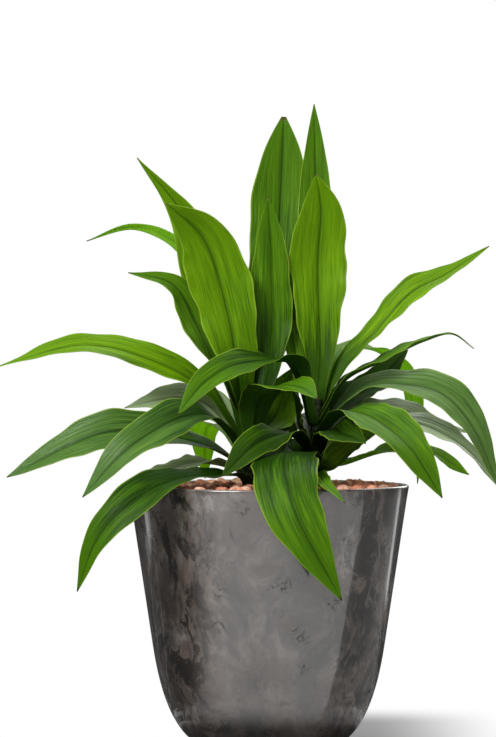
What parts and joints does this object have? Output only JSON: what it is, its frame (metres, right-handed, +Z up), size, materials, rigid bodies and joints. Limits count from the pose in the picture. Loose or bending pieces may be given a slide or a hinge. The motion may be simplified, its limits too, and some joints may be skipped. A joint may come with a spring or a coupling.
{
  "type": "potted dracaena",
  "caption": "Dracaena with broad, arching lance-shaped leaves, planted in clay pebbles in a tapered, round-bottomed glazed pot.",
  "frame": {"origin": "centre of the pot's flat foot, on the surface that it stands on", "axes": "+Z up; -Y towards the front, where the broadest leaf hangs over the rim; +X to the right as seen from the front"},
  "size_m": [0.5328, 0.3367, 0.672],
  "materials": {
    "glaze": "glossy, cloudy dark grey-brown glaze",
    "clay": "matt fired clay",
    "bark": "smooth green-brown bark with rings",
    "leaf": "soft gloss green with a pale edge and fine ribs along it"
  },
  "bodies": {
    "root": {"pot": "glaze", "clay_pebbles": "clay", "cane_left": "bark", "cane_right": "bark", "leaf_left_01": "leaf", "leaf_left_02": "leaf", "leaf_left_03": "leaf", "leaf_left_04": "leaf", "leaf_left_05": "leaf", "leaf_left_06": "leaf", "leaf_left_07": "leaf", "leaf_left_08": "leaf", "leaf_left_09": "leaf", "leaf_left_10": "leaf", "leaf_left_11": "leaf", "leaf_left_12": "leaf", "leaf_left_13": "leaf", "leaf_left_14": "leaf", "leaf_left_15": "leaf", "leaf_left_16": "leaf", "leaf_left_17": "leaf", "leaf_left_18": "leaf", "leaf_right_01": "leaf", "leaf_right_02": "leaf", "leaf_right_03": "leaf", "leaf_right_04": "leaf", "leaf_right_05": "leaf", "leaf_right_06": "leaf", "leaf_right_07": "leaf", "leaf_right_08": "leaf", "leaf_right_09": "leaf", "leaf_right_10": "leaf", "leaf_right_11": "leaf", "leaf_right_12": "leaf", "leaf_right_13": "leaf", "leaf_right_14": "leaf", "leaf_right_15": "leaf", "leaf_right_16": "leaf", "leaf_right_17": "leaf", "leaf_right_18": "leaf", "leaf_right_19": "leaf", "leaf_right_20": "leaf", "leaf_right_21": "leaf", "leaf_right_22": "leaf"}
  },
  "joints": []
}
